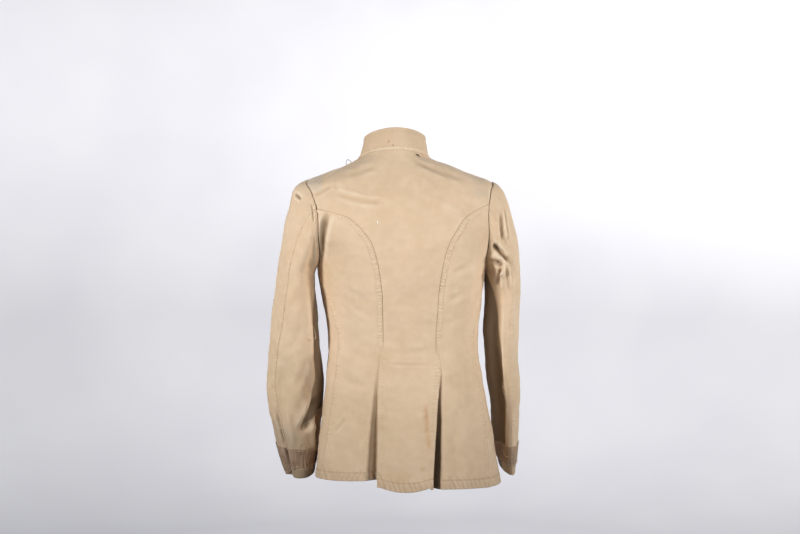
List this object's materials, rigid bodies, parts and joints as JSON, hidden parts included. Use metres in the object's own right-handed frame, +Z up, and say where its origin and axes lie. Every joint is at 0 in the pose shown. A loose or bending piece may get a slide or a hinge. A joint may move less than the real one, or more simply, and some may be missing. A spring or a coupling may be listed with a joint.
{
  "type": "military service jacket",
  "caption": "Hip-length khaki cotton service jacket with a standing collar, curved back seams that open into skirt pleats, and braid-trimmed two-piece sleeves, in its hollow worn form.",
  "frame": {"origin": "middle of the neck opening, at the height of the neck seam, where the wearer's neck and shoulders hold the jacket up", "axes": "+Z up along the neck, +Y to the front of the wearer, +X to the wearer's right side"},
  "size_m": [0.5467, 0.2549, 0.7462],
  "materials": {
    "khaki_drill": "matt cotton twill, faded khaki",
    "cuff_braid": "matt ribbed braid, faded brown",
    "button_bronze": "dull bronzed metal",
    "ring_wire": "dull bare wire"
  },
  "bodies": {
    "root": {"back_centre": "khaki_drill", "back_side_left": "khaki_drill", "back_side_right": "khaki_drill", "front_left": "khaki_drill", "front_right": "khaki_drill", "collar": "khaki_drill", "sleeve_upper_left": "khaki_drill", "sleeve_under_left": "khaki_drill", "sleeve_upper_right": "khaki_drill", "sleeve_under_right": "khaki_drill", "cuff_band_left": "cuff_braid", "cuff_band_right": "cuff_braid", "button_1": "button_bronze", "button_2": "button_bronze", "button_3": "button_bronze", "button_4": "button_bronze", "button_5": "button_bronze", "shoulder_ring_left": "ring_wire"}
  },
  "joints": []
}
